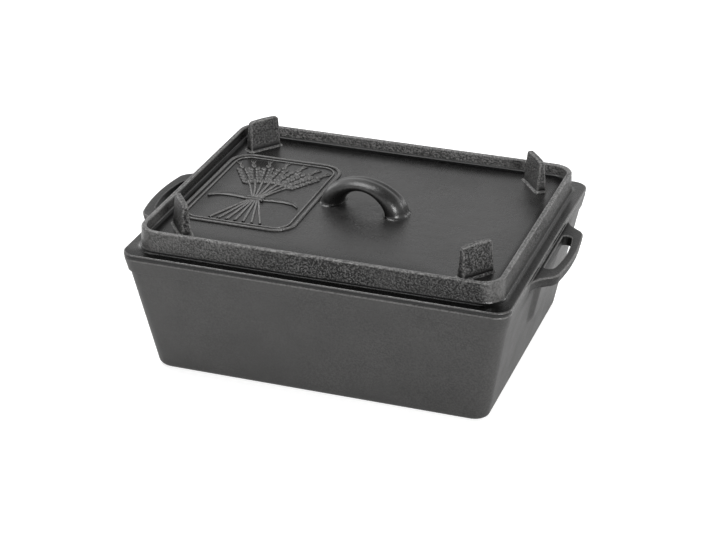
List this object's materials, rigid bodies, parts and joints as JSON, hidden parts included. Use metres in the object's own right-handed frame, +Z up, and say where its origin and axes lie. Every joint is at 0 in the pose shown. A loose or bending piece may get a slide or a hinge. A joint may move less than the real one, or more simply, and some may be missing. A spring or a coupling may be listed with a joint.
{
  "type": "lidded loaf pan",
  "caption": "Rectangular cast iron loaf pan with slotted end ears and a lift-off lid with raised rim, arch handle and feet that make it a griddle when turned over.",
  "frame": {"origin": "centre of the pan's flat base, on the surface it stands on", "axes": "+X along the long side towards one ear, +Y across, +Z up through the lid"},
  "size_m": [0.4174, 0.298, 0.165],
  "materials": {
    "pan": "seasoned, matte to satin, fine sand-cast grain",
    "lid": "seasoned, satin, coarser sand-cast grain on rim and feet"
  },
  "bodies": {
    "pan": {"pan": "pan"},
    "lid": {"lid": "lid"}
  },
  "joints": [
    {"name": "lid_lift", "type": "slide", "parent": "pan", "child": "lid", "axis": [0, 0, 1], "range_m": [0, 0.18]}
  ]
}
